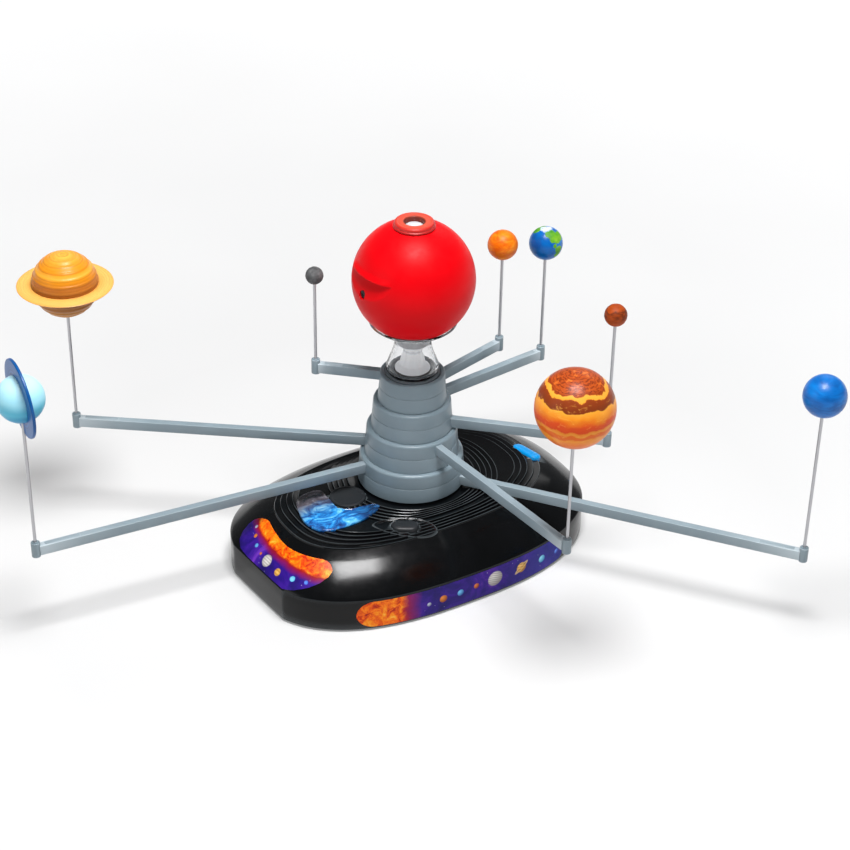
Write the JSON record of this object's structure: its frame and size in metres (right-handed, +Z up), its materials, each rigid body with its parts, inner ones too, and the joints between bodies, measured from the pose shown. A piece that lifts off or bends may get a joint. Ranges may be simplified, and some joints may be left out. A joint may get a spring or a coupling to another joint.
{
  "type": "orrery",
  "caption": "Toy orrery: planet balls on turning arms round a tapering column, with a projector sun on a clear neck and a black oval base.",
  "frame": {"origin": "on the column's axis, at the floor under the centre foot", "axes": "+Z up, +X along the base's length, -Y the side with the long printed strip"},
  "size_m": [0.5103, 0.446, 0.2699],
  "materials": {
    "base_black": "high gloss moulded plastic",
    "base_matt": "fine satin moulding",
    "battery_jacket": "printed foil jacket",
    "spring_steel": "nickel plated spring steel",
    "circuit_green": "glass fibre board with solder mask",
    "foot_rubber": "soft matt rubber",
    "screw_steel": "zinc plated",
    "screw_black": "blackened steel",
    "button_black": "satin",
    "button_grey": "satin",
    "power_blue": "gloss, slightly translucent",
    "wall_print": "gloss laminated printed film",
    "nebula_print": "gloss laminated printed film",
    "post_black": "satin",
    "washer_white": "low friction plastic",
    "lead_red": "wire insulation",
    "lamp_grey": "satin",
    "lamp_lens": "clear epoxy",
    "clear_plastic": "clear moulded polystyrene",
    "sun_red": "satin gloss, slightly translucent",
    "lens_coral": "translucent satin",
    "lens_clear": "polished",
    "column_grey": "satin moulding",
    "rod_steel": "bright drawn wire",
    "mercury_paint": "painted, pitted",
    "venus_paint": "painted, clouded",
    "earth_paint": "painted",
    "mars_paint": "painted, dusty",
    "jupiter_paint": "painted bands",
    "saturn_paint": "painted bands",
    "saturn_ring_cream": "painted",
    "uranus_paint": "painted, soft shading",
    "uranus_ring_blue": "painted",
    "neptune_paint": "painted"
  },
  "bodies": {
    "base": {"base_shell": "base_black", "base_plate": "base_matt", "battery_door": "base_matt", "batteries": "battery_jacket", "battery_contacts": "spring_steel", "circuit_boards": "circuit_green", "rubber_feet": "foot_rubber", "case_screws": "screw_steel", "wall_decal": "wall_print", "nebula_decal": "nebula_print", "centre_post": "post_black", "post_screws": "screw_steel", "slip_washers": "washer_white", "retaining_ring": "post_black", "lamp_leads": "lead_red", "lamp_holder": "lamp_grey", "lamp": "lamp_lens", "clear_neck": "clear_plastic"},
    "sun": {"sun_shell": "sun_red", "sun_base_cap": "lamp_grey", "sun_screw": "screw_black"},
    "focus_ring": {"lens_ring": "lens_coral", "lens": "lens_clear"},
    "round_button": {"round_button": "button_black"},
    "oval_button": {"oval_button": "button_grey"},
    "power_button": {"power_button": "power_blue"},
    "mercury": {"mercury_collar": "column_grey", "mercury_arm": "column_grey", "mercury_rod": "rod_steel", "mercury_ball": "mercury_paint"},
    "venus": {"venus_collar": "column_grey", "venus_arm": "column_grey", "venus_rod": "rod_steel", "venus_ball": "venus_paint"},
    "earth": {"earth_collar": "column_grey", "earth_arm": "column_grey", "earth_rod": "rod_steel", "earth_ball": "earth_paint"},
    "mars": {"mars_collar": "column_grey", "mars_arm": "column_grey", "mars_rod": "rod_steel", "mars_ball": "mars_paint"},
    "jupiter": {"jupiter_collar": "column_grey", "jupiter_arm": "column_grey", "jupiter_rod": "rod_steel", "jupiter_ball": "jupiter_paint"},
    "saturn": {"saturn_collar": "column_grey", "saturn_arm": "column_grey", "saturn_rod": "rod_steel", "saturn_ball": "saturn_paint", "saturn_ring": "saturn_ring_cream"},
    "uranus": {"uranus_collar": "column_grey", "uranus_arm": "column_grey", "uranus_rod": "rod_steel", "uranus_ball": "uranus_paint", "uranus_ring": "uranus_ring_blue"},
    "neptune": {"neptune_collar": "column_grey", "neptune_arm": "column_grey", "neptune_rod": "rod_steel", "neptune_ball": "neptune_paint"}
  },
  "joints": [
    {"name": "mercury_orbit", "type": "hinge", "parent": "base", "child": "mercury", "pos_m": [0, 0, 0.1], "axis": [0, 0, 1], "continuous": true},
    {"name": "venus_orbit", "type": "hinge", "parent": "base", "child": "venus", "pos_m": [0, 0, 0.1], "axis": [0, 0, 1], "continuous": true},
    {"name": "earth_orbit", "type": "hinge", "parent": "base", "child": "earth", "pos_m": [0, 0, 0.1], "axis": [0, 0, 1], "continuous": true},
    {"name": "mars_orbit", "type": "hinge", "parent": "base", "child": "mars", "pos_m": [0, 0, 0.1], "axis": [0, 0, 1], "continuous": true},
    {"name": "jupiter_orbit", "type": "hinge", "parent": "base", "child": "jupiter", "pos_m": [0, 0, 0.1], "axis": [0, 0, 1], "continuous": true},
    {"name": "saturn_orbit", "type": "hinge", "parent": "base", "child": "saturn", "pos_m": [0, 0, 0.1], "axis": [0, 0, 1], "range_deg": [-93, 8]},
    {"name": "uranus_orbit", "type": "hinge", "parent": "base", "child": "uranus", "pos_m": [0, 0, 0.1], "axis": [0, 0, 1], "range_deg": [-8, 95]},
    {"name": "neptune_orbit", "type": "hinge", "parent": "base", "child": "neptune", "pos_m": [0, 0, 0.1], "axis": [0, 0, 1], "range_deg": [-28, 90]},
    {"name": "sun_turn", "type": "hinge", "parent": "base", "child": "sun", "pos_m": [0, 0, 0.223], "axis": [0, 0, 1], "continuous": true},
    {"name": "focus_turn", "type": "hinge", "parent": "sun", "child": "focus_ring", "pos_m": [0, 0, 0.26], "axis": [0, 0, 1], "range_deg": [-45, 45]},
    {"name": "round_button_press", "type": "slide", "parent": "base", "child": "round_button", "axis": [0, 0, -1], "range_m": [0, 0.0015], "stiffness_N_per_m": 400, "springref_m": -0.0006},
    {"name": "oval_button_press", "type": "slide", "parent": "base", "child": "oval_button", "axis": [0, 0, -1], "range_m": [0, 0.0015], "stiffness_N_per_m": 400, "springref_m": -0.0006},
    {"name": "power_button_press", "type": "slide", "parent": "base", "child": "power_button", "axis": [-0.2532, -0.0538, -0.9659], "range_m": [0, 0.0015], "stiffness_N_per_m": 400, "springref_m": -0.0006}
  ]
}
